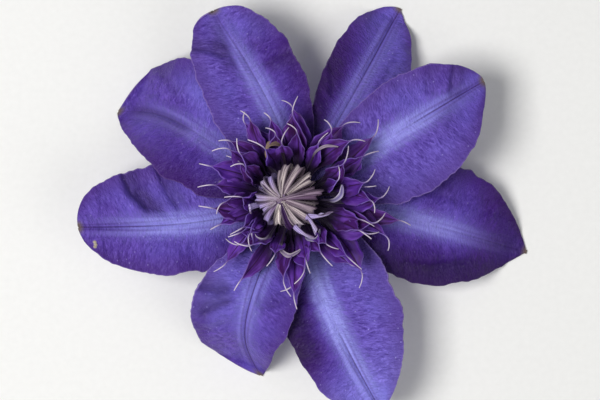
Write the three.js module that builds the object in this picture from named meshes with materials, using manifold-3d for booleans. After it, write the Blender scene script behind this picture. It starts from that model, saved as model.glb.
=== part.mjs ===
// A double clematis bloom, picked with a short stub of stalk and laid face up on a table.
// Eight broad tepals spread from the receptacle in three overlapping levels. Four of them arch over and
// rest on their tips, so the bloom stands on four low points round its weight. Above the tepals is a crown
// of narrow petal-like staminodes, each ending in a curled thread, and in its middle a pale tuft of
// stamens whose tips still bend inwards. Millimetres, +Z up, the table at z = 0.
import * as THREE from "three";
import { mergeVertices } from "three/addons/utils/BufferGeometryUtils.js";
import Module from "manifold-3d";

const wasm = await Module();
wasm.setup();

// ---- driving dimensions ----

const tepalThickness = 0.7;
const clawRadius = 3.3; // where the tepals' narrow bases meet the receptacle
const clawHalfWidth = 1.7;
const tipHalfWidth = 0.5;
const midribGroove = 0.45;
const tepalRows = 18;
const tepalColumns = 8;
const tipCrowding = 1.35;

const levelLow = 14.6; // heights of the three levels of tepals at the receptacle
const levelMid = 16.2;
const levelHigh = 17.8;

// Each tepal, counter-clockwise from the right. azimuth and reach place its tip, bow bends its midrib
// sideways (most at the share bowAt of its length) and hook turns its last part. arch holds five heights
// that pull the midrib up and down from base to tip. A side has its greatest width, where along the
// length that is, how blunt the tip is (a lower taper is blunter), and how far the margin lifts or droops.
const tepals = [
  {
    azimuth: -13, reach: 65.5, bow: 1.5, bowAt: 0.37, hook: 0, arch: [levelLow, 15, 15, 10, -3],
    left: { width: 17.3, widest: 0.62, taper: 0.95, lift: -1 },
    right: { width: 16.3, widest: 0.54, taper: 1.1, lift: -1 },
    ripple: 0.9, ripples: 2.4, phase: 0.4,
  },
  {
    azimuth: 31.5, reach: 60.5, bow: 0.3, bowAt: 0.5, hook: 0, arch: [levelHigh, 18.2, 19.5, 21, 17],
    left: { width: 13.2, widest: 0.62, taper: 0.55, lift: -0.6 },
    right: { width: 18.2, widest: 0.54, taper: 0.8, lift: -1.2 },
    ripple: 0.8, ripples: 2.1, phase: 2.2,
  },
  {
    azimuth: 60.5, reach: 59.5, bow: -0.4, bowAt: 0.5, hook: 0, arch: [levelMid, 16.5, 16, 11, -3],
    left: { width: 10.8, widest: 0.66, taper: 0.6, lift: 0.4 },
    right: { width: 12.6, widest: 0.58, taper: 1, lift: -0.6 },
    ripple: 0.7, ripples: 2.2, phase: 4.1,
  },
  {
    azimuth: 113, reach: 55, bow: -4.2, bowAt: 0.34, hook: 0, arch: [levelHigh, 18.2, 19, 20, 17],
    left: { width: 15.3, widest: 0.44, taper: 0.4, lift: 0.5 },
    right: { width: 12.6, widest: 0.64, taper: 0.36, lift: 0.2 },
    ripple: 1.1, ripples: 3, phase: 0.9,
  },
  {
    azimuth: 148, reach: 53, bow: -1.2, bowAt: 0.6, hook: 5.5, arch: [levelMid, 16.4, 17, 24, -4],
    left: { width: 14.5, widest: 0.54, taper: 0.75, lift: 0 },
    right: { width: 17.4, widest: 0.78, taper: 0.26, lift: -0.6 },
    ripple: 0.6, ripples: 2.6, phase: 3.3,
  },
  {
    azimuth: 187.7, reach: 58.5, bow: 3, bowAt: 0.4, hook: 0, arch: [levelLow, 14.5, 14.5, 16, 17],
    left: { width: 13.7, widest: 0.52, taper: 0.5, lift: 0.6 },
    right: { width: 16.2, widest: 0.53, taper: 0.42, lift: -2.6 },
    ripple: 0.9, ripples: 2.7, phase: 5.2,
  },
  {
    azimuth: 250, reach: 48.5, bow: -1.5, bowAt: 0.5, hook: 8.5, arch: [levelHigh, 18, 19.5, 29, -4],
    left: { width: 12.6, widest: 0.56, taper: 0.8, lift: 0.3 },
    right: { width: 15.6, widest: 0.74, taper: 0.36, lift: -0.8 },
    ripple: 0.5, ripples: 2.3, phase: 1.7,
  },
  {
    azimuth: 292.5, reach: 62, bow: -2.6, bowAt: 0.46, hook: 0, arch: [levelMid, 16.4, 16.5, 17.5, 16.5],
    left: { width: 18.6, widest: 0.48, taper: 0.75, lift: 0.6 },
    right: { width: 13, widest: 0.6, taper: 0.42, lift: -2.2 },
    ripple: 0.9, ripples: 2.5, phase: 0.2,
  },
];

const stalkRadius = 1.15;
const stalkEnd = 2; // height of the cut end, clear of the table
const receptacleRadius = 3;
const receptacleTop = 19;
const coreRadius = 5.4; // the cushion that the staminodes spring from
const coreBase = 19.3;
const coreTop = 22.6;

// Each staminode's own sizes and angles are drawn, from the least share up by the spread, or to both sides
// of the middle by half the spread. Angles are in degrees.
const staminodes = 56;
const goldenAngle = 137.508;
const outerLength = 22.5; // length of a blade without its thread, before its own share
const innerLength = 15;
const leastLength = 0.78;
const lengthSpread = 0.32;
const crownLean = 0.1; // blades on the side of +X are longer by this share, and shorter opposite
const outerHalfWidth = 2.9;
const innerHalfWidth = 2.2;
const leastWidth = 0.8;
const widthSpread = 0.45;
const outerClimb = 13; // how steeply a blade climbs at its broadest
const innerClimb = 62;
const climbSpread = 18;
const outerRecurve = 55; // how far a thread curls down
const innerRecurve = 95;
const leastRecurve = 0.7;
const recurveSpread = 0.5;
const azimuthSpread = 30;
const bendSpread = 60; // how far a blade bends sideways
const hookSpread = 150; // how far its thread turns sideways
const twistSpread = 112;
const leastFold = 0.1;
const foldSpread = 0.55;
const outerRoot = { radius: 4.2, height: 20.1 }; // where a blade's middle line leaves the cushion
const innerRoot = { radius: 4.6, height: 21.4 };
const neckHalfWidth = 0.7;
const threadHalfWidth = 0.42;
const leastThread = 3.6;
const threadSpread = 2.8;

// Pale ribbons among the staminodes, each with its azimuth, its share of the full width, how far it
// reaches, how it climbs and which way it curls.
const ribbons = [
  { azimuth: -3, width: 0.6, reach: 12.5, climb: 34, curl: 90 },
  { azimuth: -70, width: 0.55, reach: 13, climb: 30, curl: 150 },
  { azimuth: 238, width: 1, reach: 15.5, climb: 25, curl: -60 },
  { azimuth: 256, width: 0.8, reach: 16, climb: 27, curl: 80 },
  { azimuth: 103, width: 0.85, reach: 17, climb: 26, curl: 170 },
  { azimuth: 64, width: 0.4, reach: 16, climb: 30, curl: -70 },
];
const ribbonRoot = { radius: 4, height: 20.8 };
const ribbonHalfThickness = 0.36;

const stamens = 24;
const tuftBase = 23.6;
const tuftTop = 29.2;
const tuftRadius = 8.2;
const tuftLean = 3.2; // how far the apex leans off the axis
const tuftLeanAzimuth = 184;
const leastSize = 0.84; // a strap's own size, lift, width and swing are drawn in the same way
const sizeSpread = 0.28;
const liftSpread = 1.6;
const leastStrapWidth = 0.75;
const strapWidthSpread = 0.55;
const swingSpread = 30;
const tipSpread = 0.5; // how far the tips stray round the apex, as a share of the tuft's radius
const broadStamen = 7;
const broadWidth = 1.5;
const darkStamen = 2;
const proudLift = 0.8; // the broad one and the dark one lie over their neighbours
const strapHalfWidth = 0.95;
const openHalfWidth = 1.25;
const strapHalfThickness = 0.34;

// A strap's path from its root: share of the tuft's radius, share of its height, share of the width, and
// how much of the strap's own lift it has there.
const closedStrap = [
  [0.13, 0, 0.5, 0],
  [0.62, 0.12, 0.65, 0.4],
  [1, 0.36, 1, 1],
  [0.86, 0.61, 0.95, 1],
  [0.42, 0.86, 0.7, 0.8],
  [0.06, 1, 0.35, 0.4],
];

// Stamens that bend out instead of in: each rises like the others, then arches over and out to its reach,
// a share of the tuft's radius, while it swings sideways.
const openStamens = [
  { azimuth: -62, swing: 44, reach: 1.62, width: 1.1 },
  { azimuth: -18, swing: -26, reach: 1.58, width: 0.75 },
  { azimuth: -84, swing: 31, reach: 1.58, width: 0.85 },
  { azimuth: 188, swing: 10, reach: 1.1, width: 0.9 },
];
const openRise = [
  [0.12, 0, 0.5, 0],
  [0.61, 0.14, 0.55, 0],
  [0.92, 0.46, 0.6, 0],
  [1, 0.82, 0.7, 0],
];

// ---- small tools ----

const radians = THREE.MathUtils.degToRad;
const lerp = THREE.MathUtils.lerp;
const smoothstep = THREE.MathUtils.smoothstep;

// A repeatable run of draws from 0 to 1.
function drawsFrom(seed) {
  let state = seed;
  return () => {
    state = (state * 16807) % 2147483647;
    return state / 2147483647;
  };
}

// A closed solid through rings of points that all have the same count, capped at both ends.
function loft(rings) {
  const count = rings[0].length;
  const position = rings.flat().flatMap((p) => [p.x, p.y, p.z]);
  const index = [];
  for (let r = 0; r + 1 < rings.length; r++) {
    for (let i = 0; i < count; i++) {
      const a = r * count + i;
      const b = r * count + ((i + 1) % count);
      index.push(a, b, b + count, a, b + count, a + count);
    }
  }
  const last = (rings.length - 1) * count;
  for (let i = 1; i + 1 < count; i++) {
    index.push(0, i + 1, i);
    index.push(last, last + i, last + i + 1);
  }
  return new THREE.BufferGeometry()
    .setAttribute("position", new THREE.Float32BufferAttribute(position, 3))
    .setIndex(index);
}

// A thin closed sheet over a surface, split into triangles alike on both faces. Its rows crowd towards the
// far end by the power given, and it never goes below z = 0.
function sheet(rows, columns, crowding, pointAt, thickness) {
  const step = 1e-3;
  const top = [];
  const bottom = [];
  for (let j = 0; j <= rows; j++) {
    for (let i = 0; i <= columns; i++) {
      const t = 1 - (1 - j / rows) ** crowding;
      const s = 1 - (2 * i) / columns;
      const t0 = Math.min(t, 1 - step);
      const along = pointAt(t0 + step, s).sub(pointAt(t0, s));
      const across = pointAt(t, s + step).sub(pointAt(t, s - step));
      const normal = along.cross(across).normalize();
      const p = pointAt(t, s);
      const upper = p.clone().addScaledVector(normal, thickness / 2);
      const lower = p.clone().addScaledVector(normal, -thickness / 2);
      lower.z = Math.max(lower.z, 0);
      upper.z = Math.max(upper.z, thickness);
      top.push(upper);
      bottom.push(lower);
    }
  }
  const width = columns + 1;
  const under = top.length;
  const index = [];
  for (let j = 0; j < rows; j++) {
    for (let i = 0; i < columns; i++) {
      const a = j * width + i;
      const [b, c, d] = [a + 1, a + width + 1, a + width];
      index.push(a, b, c, a, c, d);
      index.push(under + a, under + c, under + b, under + a, under + d, under + c);
    }
  }
  const border = [];
  for (let i = 0; i < columns; i++) border.push(i);
  for (let j = 0; j < rows; j++) border.push(j * width + columns);
  for (let i = columns; i > 0; i--) border.push(rows * width + i);
  for (let j = rows; j > 0; j--) border.push(j * width);
  border.forEach((a, k) => {
    const b = border[(k + 1) % border.length];
    index.push(b, a, under + a, b, under + a, under + b);
  });
  const position = [...top, ...bottom].flatMap((p) => [p.x, p.y, p.z]);
  return new THREE.BufferGeometry()
    .setAttribute("position", new THREE.Float32BufferAttribute(position, 3))
    .setIndex(index);
}

function solidOf(geometry) {
  const bare = geometry.clone();
  bare.deleteAttribute("normal");
  bare.deleteAttribute("uv");
  const merged = mergeVertices(bare, 1e-4);
  return new wasm.Manifold(
    new wasm.Mesh({
      numProp: 3,
      vertProperties: merged.attributes.position.array,
      triVerts: new Uint32Array(merged.index.array),
    }),
  );
}

// One body out of several that sink into each other. A hollow that the joining seals is filled: it comes as
// a loose shell of its own, and only the largest is kept.
function fused(geometries) {
  const joined = geometries.map(solidOf).reduce((sum, one) => sum.add(one));
  const [body] = joined.decompose().sort((a, b) => b.volume() - a.volume());
  const mesh = body.getMesh();
  return new THREE.BufferGeometry()
    .setAttribute("position", new THREE.Float32BufferAttribute(mesh.vertProperties, 3))
    .setIndex(new THREE.BufferAttribute(mesh.triVerts, 1));
}

// ---- tepals ----

const archWeights = [1, 4, 6, 4, 1];

function archHeight(arch, t) {
  return arch.reduce((z, h, k) => z + archWeights[k] * h * t ** k * (1 - t) ** (4 - k), 0);
}

// Half the width of one side of a tepal at the share t of its length.
function sideWidth(side, t) {
  const rise = (side.taper * side.widest) / (1 - side.widest);
  const body = (t / side.widest) ** rise * ((1 - t) / (1 - side.widest)) ** side.taper;
  return Math.max(side.width * body, lerp(clawHalfWidth, tipHalfWidth, t));
}

// The middle surface of a tepal: t runs from base to tip, s from the right margin (-1) to the left (1).
function tepalPoint(tepal, t, s) {
  const side = s < 0 ? tepal.right : tepal.left;
  const skew = Math.log(0.5) / Math.log(tepal.bowAt);
  const midrib = tepal.bow * Math.sin(Math.PI * t ** skew) + tepal.hook * t ** 8;
  const out = lerp(clawRadius, tepal.reach, t);
  const sideways = midrib + s * sideWidth(side, t);
  const free = smoothstep(t, 0.3, 0.7);
  const wave = Math.sin(2 * Math.PI * tepal.ripples * t + tepal.phase + (s < 0 ? 2.1 : 0));
  const margin = Math.abs(s) ** 2;
  const height =
    archHeight(tepal.arch, t) +
    side.lift * margin * Math.sin(Math.PI * t ** 0.8) +
    tepal.ripple * margin * free * wave -
    midribGroove * Math.exp(-((s / 0.12) ** 2)) * smoothstep(t, 0, 0.25);
  const angle = radians(tepal.azimuth);
  return new THREE.Vector3(
    out * Math.cos(angle) - sideways * Math.sin(angle),
    out * Math.sin(angle) + sideways * Math.cos(angle),
    Math.max(height, tepalThickness / 2),
  );
}

// ---- staminodes and stamens ----

// A narrow blade that follows a path of turning headings. Each station gives the share of the length, the
// half width, the half thickness, the climb above level, and the turn sideways from the blade's azimuth.
function blade({ azimuth, rootRadius, rootHeight, length, fold, twist, stations }) {
  const angle = radians(azimuth);
  const at = new THREE.Vector3(rootRadius * Math.cos(angle), rootRadius * Math.sin(angle), rootHeight);
  const rings = [];
  stations.forEach((station, k) => {
    const heading = angle + radians(station.turn);
    const climb = radians(station.climb);
    const along = new THREE.Vector3(
      Math.cos(heading) * Math.cos(climb),
      Math.sin(heading) * Math.cos(climb),
      Math.sin(climb),
    );
    if (k > 0) at.addScaledVector(along, (station.share - stations[k - 1].share) * length);
    const left = new THREE.Vector3(-Math.sin(heading), Math.cos(heading), 0);
    left.applyAxisAngle(along, radians(twist * station.share));
    const up = along.clone().cross(left).normalize();
    const lift = fold * station.half;
    rings.push([
      at.clone().addScaledVector(left, station.half).addScaledVector(up, lift),
      at.clone().addScaledVector(up, station.thick),
      at.clone().addScaledVector(left, -station.half).addScaledVector(up, lift),
      at.clone().addScaledVector(up, -station.thick),
    ]);
  });
  return loft(rings);
}

// A staminode's outline, narrow at the neck, broad, then drawn out into a thread. Each row is the share of
// the blade or thread, the share of the half width added to the least one, and the half thickness.
const bladeRows = [
  [0, 0, 0.4],
  [0.26, 0.03, 0.4],
  [0.5, 0.76, 0.42],
  [0.7, 1, 0.42],
  [0.87, 0.66, 0.4],
  [1, 0, 0.36],
];
const threadRows = [
  [0.3, 0.36, 0.33],
  [0.65, 0.34, 0.32],
  [1, 0.3, 0.3],
];

function neckAt(share) {
  return lerp(neckHalfWidth, threadHalfWidth, share);
}

// Every staminode by one rule: each is turned on by the golden angle, from the low outer ones to the
// steep inner ones.
function staminodeBlades() {
  const draw = drawsFrom(4217);
  const made = [];
  for (let i = 0; i < staminodes; i++) {
    const inner = i / (staminodes - 1);
    const azimuth = i * goldenAngle + azimuthSpread * (draw() - 0.5);
    const leaning = 1 + crownLean * Math.cos(radians(azimuth));
    const ownLength = leastLength + lengthSpread * draw();
    const bladeLength = leaning * lerp(outerLength, innerLength, inner) * ownLength;
    const threadLength = leastThread + threadSpread * draw();
    const climbEnd = lerp(outerClimb, innerClimb, inner) + climbSpread * (draw() - 0.5);
    const recurve = lerp(outerRecurve, innerRecurve, inner) * (leastRecurve + recurveSpread * draw());
    const sideTurn = hookSpread * (draw() - 0.5);
    const half = lerp(outerHalfWidth, innerHalfWidth, inner) * (leastWidth + widthSpread * draw());
    const twist = twistSpread * (draw() - 0.5);
    const bend = bendSpread * (draw() - 0.5);
    const fold = leastFold + foldSpread * draw();
    const length = bladeLength + threadLength;
    const end = bladeLength / length;
    const climb = (share) => lerp(2, climbEnd, smoothstep(share / end, 0.2, 0.75));
    const thread = (share) => smoothstep(share, end, 1);
    const shape = [
      ...bladeRows.map(([share, width, thick]) => [share * end, lerp(neckAt(share), half, width), thick]),
      ...threadRows.map(([share, width, thick]) => [lerp(end, 1, share), width, thick]),
    ];
    made.push(
      blade({
        azimuth,
        rootRadius: lerp(outerRoot.radius, innerRoot.radius, inner),
        rootHeight: lerp(outerRoot.height, innerRoot.height, inner),
        length,
        fold,
        twist,
        stations: shape.map(([share, width, thick]) => ({
          share,
          half: width,
          thick,
          climb: climb(share) - recurve * thread(share),
          turn: bend * smoothstep(share / end, 0.3, 1) + sideTurn * thread(share),
        })),
      }),
    );
  }
  return made;
}

// A ribbon's half width along its length.
const ribbonRows = [
  [0, 0.6],
  [0.3, 0.6],
  [0.5, 0.8],
  [0.65, 1.2],
  [0.8, 1.35],
  [0.92, 1],
  [1, 0.4],
];

function paleRibbons() {
  return ribbons.map(({ azimuth, width, reach, climb, curl }) =>
    blade({
      azimuth,
      rootRadius: ribbonRoot.radius,
      rootHeight: ribbonRoot.height,
      length: (1.2 * (reach - ribbonRoot.radius)) / Math.cos(radians(climb)) + 2,
      fold: 0.2,
      twist: 0.4 * curl,
      stations: ribbonRows.map(([share, half]) => ({
        share,
        half: half * width,
        thick: ribbonHalfThickness,
        climb: climb * (1.3 - 1.6 * smoothstep(share, 0.45, 1)),
        turn: curl * smoothstep(share, 0.62, 1),
      })),
    }),
  );
}

const coreProfile = [
  [0, coreBase],
  [coreRadius - 0.5, coreBase],
  [coreRadius, coreBase + 0.9],
  [coreRadius - 0.5, coreTop - 1.2],
  [3.2, coreTop - 0.2],
  [0, coreTop],
];

const stalkProfile = [
  [0, stalkEnd],
  [stalkRadius, stalkEnd],
  [stalkRadius, 9],
  [stalkRadius + 0.4, 11.5],
  [receptacleRadius - 0.3, 13.2],
  [receptacleRadius, 14],
  [receptacleRadius, receptacleTop - 0.4],
  [receptacleRadius - 0.4, receptacleTop],
  [0, receptacleTop],
];

function turned(profile, segments) {
  const points = profile.map(([r, z]) => new THREE.Vector2(r, z));
  return new THREE.LatheGeometry(points, segments).rotateX(Math.PI / 2);
}

// A strap along a path in the plane of its azimuth, which it leaves by the swing. Its upper part leans
// with the whole tuft.
function strap({ azimuth, swing, lift, size, half, path }) {
  const angle = radians(azimuth);
  const left = new THREE.Vector3(-Math.sin(angle), Math.cos(angle), 0);
  const leanAngle = radians(tuftLeanAzimuth);
  const points = path.map(([out, up, , lifted], k) => {
    const turn = angle + (radians(swing) * k) / (path.length - 1);
    const radius = out * tuftRadius * size;
    const lean = tuftLean * smoothstep(up, 0, 1);
    return new THREE.Vector3(
      radius * Math.cos(turn) + lean * Math.cos(leanAngle),
      radius * Math.sin(turn) + lean * Math.sin(leanAngle),
      lerp(tuftBase, tuftTop, up) + lift * lifted,
    );
  });
  const rings = points.map((p, k) => {
    const next = points[Math.min(k + 1, path.length - 1)];
    const along = next.clone().sub(points[Math.max(k - 1, 0)]).normalize();
    const inward = along.cross(left).normalize();
    const width = half * path[k][2];
    return [
      p.clone().addScaledVector(left, width),
      p.clone().addScaledVector(inward, strapHalfThickness),
      p.clone().addScaledVector(left, -width),
      p.clone().addScaledVector(inward, -strapHalfThickness),
    ];
  });
  return loft(rings);
}

// The tuft: straps that climb out of the middle, bulge and bend back in to one apex, where their tips pass
// each other. One strap is broader than the rest, and a few on one side bend outwards instead.
function tuftStraps() {
  const draw = drawsFrom(911);
  const closed = Array.from({ length: stamens }, (_, i) => {
    const proud = i === broadStamen || i === darkStamen ? proudLift : 0;
    const size = leastSize + sizeSpread * draw();
    const lift = liftSpread * draw() + proud;
    const own = leastStrapWidth + strapWidthSpread * draw();
    const half = strapHalfWidth * own * (i === broadStamen ? broadWidth : 1);
    const swing = swingSpread * (draw() - 0.5);
    const tipOut = tipSpread * (draw() - 0.4);
    const path = closedStrap.with(-1, [tipOut, ...closedStrap.at(-1).slice(1)]);
    return strap({ azimuth: i * goldenAngle, size, lift, half, swing, path });
  });
  const open = openStamens.map(({ azimuth, swing, reach, width }) => {
    const path = [...openRise, [lerp(1, reach, 0.5), 1.02, 1, 0], [reach, 0.9, 0.6, 0]];
    return strap({ azimuth, size: 1, lift: 0, half: openHalfWidth * width, swing, path });
  });
  return [...closed, ...open];
}

// ---- the bloom ----

const petalViolet = new THREE.MeshStandardMaterial({ color: 0x5b46a8, roughness: 0.6, metalness: 0 });
const staminodeViolet = new THREE.MeshStandardMaterial({ color: 0x46257f, roughness: 0.6, metalness: 0 });
const stamenCream = new THREE.MeshStandardMaterial({ color: 0xc2b4b4, roughness: 0.65, metalness: 0 });
const stalkGreen = new THREE.MeshStandardMaterial({ color: 0x6b7f3a, roughness: 0.6, metalness: 0 });

const bloom = new THREE.Group();

function place(name, geometry, material) {
  const mesh = new THREE.Mesh(geometry, material);
  mesh.name = name;
  bloom.add(mesh);
}

tepals.forEach((tepal, k) => {
  const surface = (t, s) => tepalPoint(tepal, t, s);
  const tepalSheet = sheet(tepalRows, tepalColumns, tipCrowding, surface, tepalThickness);
  place(`tepal_${k + 1}`, tepalSheet, petalViolet);
});
place("stalk_and_receptacle", turned(stalkProfile, 24), stalkGreen);
const crown = fused([turned(coreProfile, 20), ...staminodeBlades(), ...paleRibbons()]);
place("staminode_crown", crown, staminodeViolet);
place("stamen_tuft", fused(tuftStraps()), stamenCream);

// The origin is on the table, under the middle of the bloom's outline.
const outline = new THREE.Box3().setFromObject(bloom, true);
const middle = outline.getCenter(new THREE.Vector3());
bloom.position.set(-middle.x, -middle.y, 0);

const part = new THREE.Group();
part.add(bloom);

export default part;
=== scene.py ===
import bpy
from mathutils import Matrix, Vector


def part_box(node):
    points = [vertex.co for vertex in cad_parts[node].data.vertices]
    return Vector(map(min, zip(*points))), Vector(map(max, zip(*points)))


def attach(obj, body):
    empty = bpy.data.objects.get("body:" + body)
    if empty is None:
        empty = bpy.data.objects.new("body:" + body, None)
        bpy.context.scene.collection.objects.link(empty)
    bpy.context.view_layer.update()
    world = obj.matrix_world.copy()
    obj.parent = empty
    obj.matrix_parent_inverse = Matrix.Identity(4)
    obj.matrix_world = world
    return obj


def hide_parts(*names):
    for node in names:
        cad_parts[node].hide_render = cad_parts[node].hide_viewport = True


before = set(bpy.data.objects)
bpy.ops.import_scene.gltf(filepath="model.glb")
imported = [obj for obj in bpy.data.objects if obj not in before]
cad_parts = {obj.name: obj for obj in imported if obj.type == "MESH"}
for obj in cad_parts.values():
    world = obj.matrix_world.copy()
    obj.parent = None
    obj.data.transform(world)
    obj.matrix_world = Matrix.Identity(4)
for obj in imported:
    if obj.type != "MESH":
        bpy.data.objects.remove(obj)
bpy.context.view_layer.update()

import math

import bmesh
import bpy
from mathutils import Quaternion, Vector, noise

# ---- The stalk ----
# What is left of the flower stalk, cut as picked: green, ridged and finely downy, swelling at its top into
# the receptacle that carries every other piece. It is turned from one profile, then ridged lengthwise.
# Shapes are worked out in millimetres round the bloom's own axis, and set on that axis when finished.

stalk_low, stalk_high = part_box("stalk_and_receptacle")
bloom_axis = (stalk_low + stalk_high) / 2
bloom_axis.z = 0
millimetre = 0.001


def colour(hex_code):
    """An sRGB hex colour as linear red, green, blue and alpha."""
    shares = [int(hex_code[i : i + 2], 16) / 255 for i in (1, 3, 5)]
    return [c / 12.92 if c <= 0.04045 else ((c + 0.055) / 1.055) ** 2.4 for c in shares] + [1]


def add_node(material, kind, inputs=None, **settings):
    """One shader node with its settings. An input is a constant, a socket, or a node's first output."""
    tree = material.node_tree
    made = tree.nodes.new(kind)
    for name, value in settings.items():
        setattr(made, name, value)
    for socket, value in (inputs or {}).items():
        if isinstance(value, bpy.types.Node):
            value = next(output for output in value.outputs if output.enabled)
        if isinstance(value, bpy.types.NodeSocket):
            tree.links.new(value, made.inputs[socket])
        else:
            made.inputs[socket].default_value = value
    return made


def new_material(name):
    """A material with an empty tree, for add_node to fill."""
    material = bpy.data.materials.new(name)
    material.use_nodes = True
    material.node_tree.nodes.clear()
    return material


def lay_colours(material, ground, layers):
    """Lays colours over a ground, one after another, each as strongly as its own share says."""
    for share, hex_code in layers:
        ground = add_node(
            material, "ShaderNodeMix", {"Factor": share, "A": ground, "B": colour(hex_code)}, data_type="RGBA"
        )
    return ground


def finish_material(material, inputs):
    """The shader of a material's surface, and its output."""
    surface = add_node(material, "ShaderNodeBsdfPrincipled", inputs)
    add_node(material, "ShaderNodeOutputMaterial", {"Surface": surface})


def set_in_place(name, shape, materials, slot, *nodes):
    """Makes a piece of a shape drawn in millimetres round the bloom's axis. It stands for CAD nodes."""
    bmesh.ops.scale(shape, vec=Vector((millimetre,) * 3), verts=shape.verts)
    bmesh.ops.translate(shape, vec=bloom_axis, verts=shape.verts)
    for face in shape.faces:
        face.smooth = True
    mesh = bpy.data.meshes.new(name)
    shape.to_mesh(mesh)
    shape.free()
    for material in materials:
        mesh.materials.append(material)
    piece = bpy.data.objects.new(name, mesh)
    bpy.context.scene.collection.objects.link(piece)
    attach(piece, "root")
    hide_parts(*nodes)
    return piece


def turn_profile(shape, profile, steps):
    """A closed solid turned from a profile of (radius, height) points that starts and ends on the axis."""
    rings = []
    for radius, height in profile:
        turns = [math.tau * k / steps for k in range(steps if radius else 1)]
        rings.append([shape.verts.new((radius * math.cos(a), radius * math.sin(a), height)) for a in turns])
    for lower, upper in zip(rings, rings[1:]):
        for k in range(steps):
            corners = ((lower, k), (lower, k + 1), (upper, k + 1), (upper, k))
            shape.faces.new(dict.fromkeys(ring[place % len(ring)] for ring, place in corners))


stalk_profile = [
    (0, 2),
    (1, 2),
    (1.13, 2.12),
    (1.1, 5),
    (1.14, 9),
    (1.5, 11.5),
    (2.55, 13.1),
    (2.93, 14),
    (3, 16),
    (3, 18.4),
    (2.6, 19),
    (0, 19),
]
stalk_ridges = 6
ridge_height = 0.1
flat_radius = 0.9  # the middle of the cut end has no ridges

# Soft green stem tissue: waxy under a bloom of down, so it is matt and lighter where the down is thick.
down_spacing = 0.4 * millimetre
shade_width = 3.85 * millimetre
stem_tissue = new_material("downy_green_stem")
place = add_node(stem_tissue, "ShaderNodeTexCoord").outputs["Object"]
down = add_node(stem_tissue, "ShaderNodeTexNoise", {"Vector": place, "Scale": 1 / down_spacing, "Detail": 2})
shades = add_node(stem_tissue, "ShaderNodeTexNoise", {"Vector": place, "Scale": 1 / shade_width, "Detail": 3})
green = lay_colours(stem_tissue, colour("#55702c"), [(shades, "#8a9a4e")])
downy = add_node(
    stem_tissue, "ShaderNodeBump", {"Height": down, "Strength": 0.4, "Distance": 0.1 * millimetre}
)
finish_material(stem_tissue, {"Base Color": green, "Roughness": 0.62, "Sheen Weight": 0.3, "Normal": downy})

shape = bmesh.new()
turn_profile(shape, stalk_profile, steps=48)
bmesh.ops.subdivide_edges(shape, edges=shape.edges, cuts=1, use_grid_fill=True)
for point in shape.verts:
    turn = math.atan2(point.co.y, point.co.x)
    swell = ridge_height * math.cos(stalk_ridges * turn) - ridge_height
    if point.co.xy.length > flat_radius:
        point.co.xy *= 1 + swell / point.co.xy.length
set_in_place("stalk", shape, [stem_tissue], "stalk_green", "stalk_and_receptacle")

# ---- The tepals ----
# Eight broad coloured sepals, which stand where petals would, on narrow claws in three overlapping levels.
# Each is a thin leathery blade with its main veins along the middle, finer ones slanting out to the margins,
# and a surface puckered between them. Four droop and rest on their tips.

level_low, level_mid, level_high = 14.6, 16.2, 17.8
claw_radius, claw_half_width, tip_half_width = 3.3, 1.7, 0.5
tepal_thickness, least_height = 0.36, 0.24
tepal_columns, tepal_rows, tip_crowding = 84, 170, 1.35
scar_height = 0.3

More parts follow.
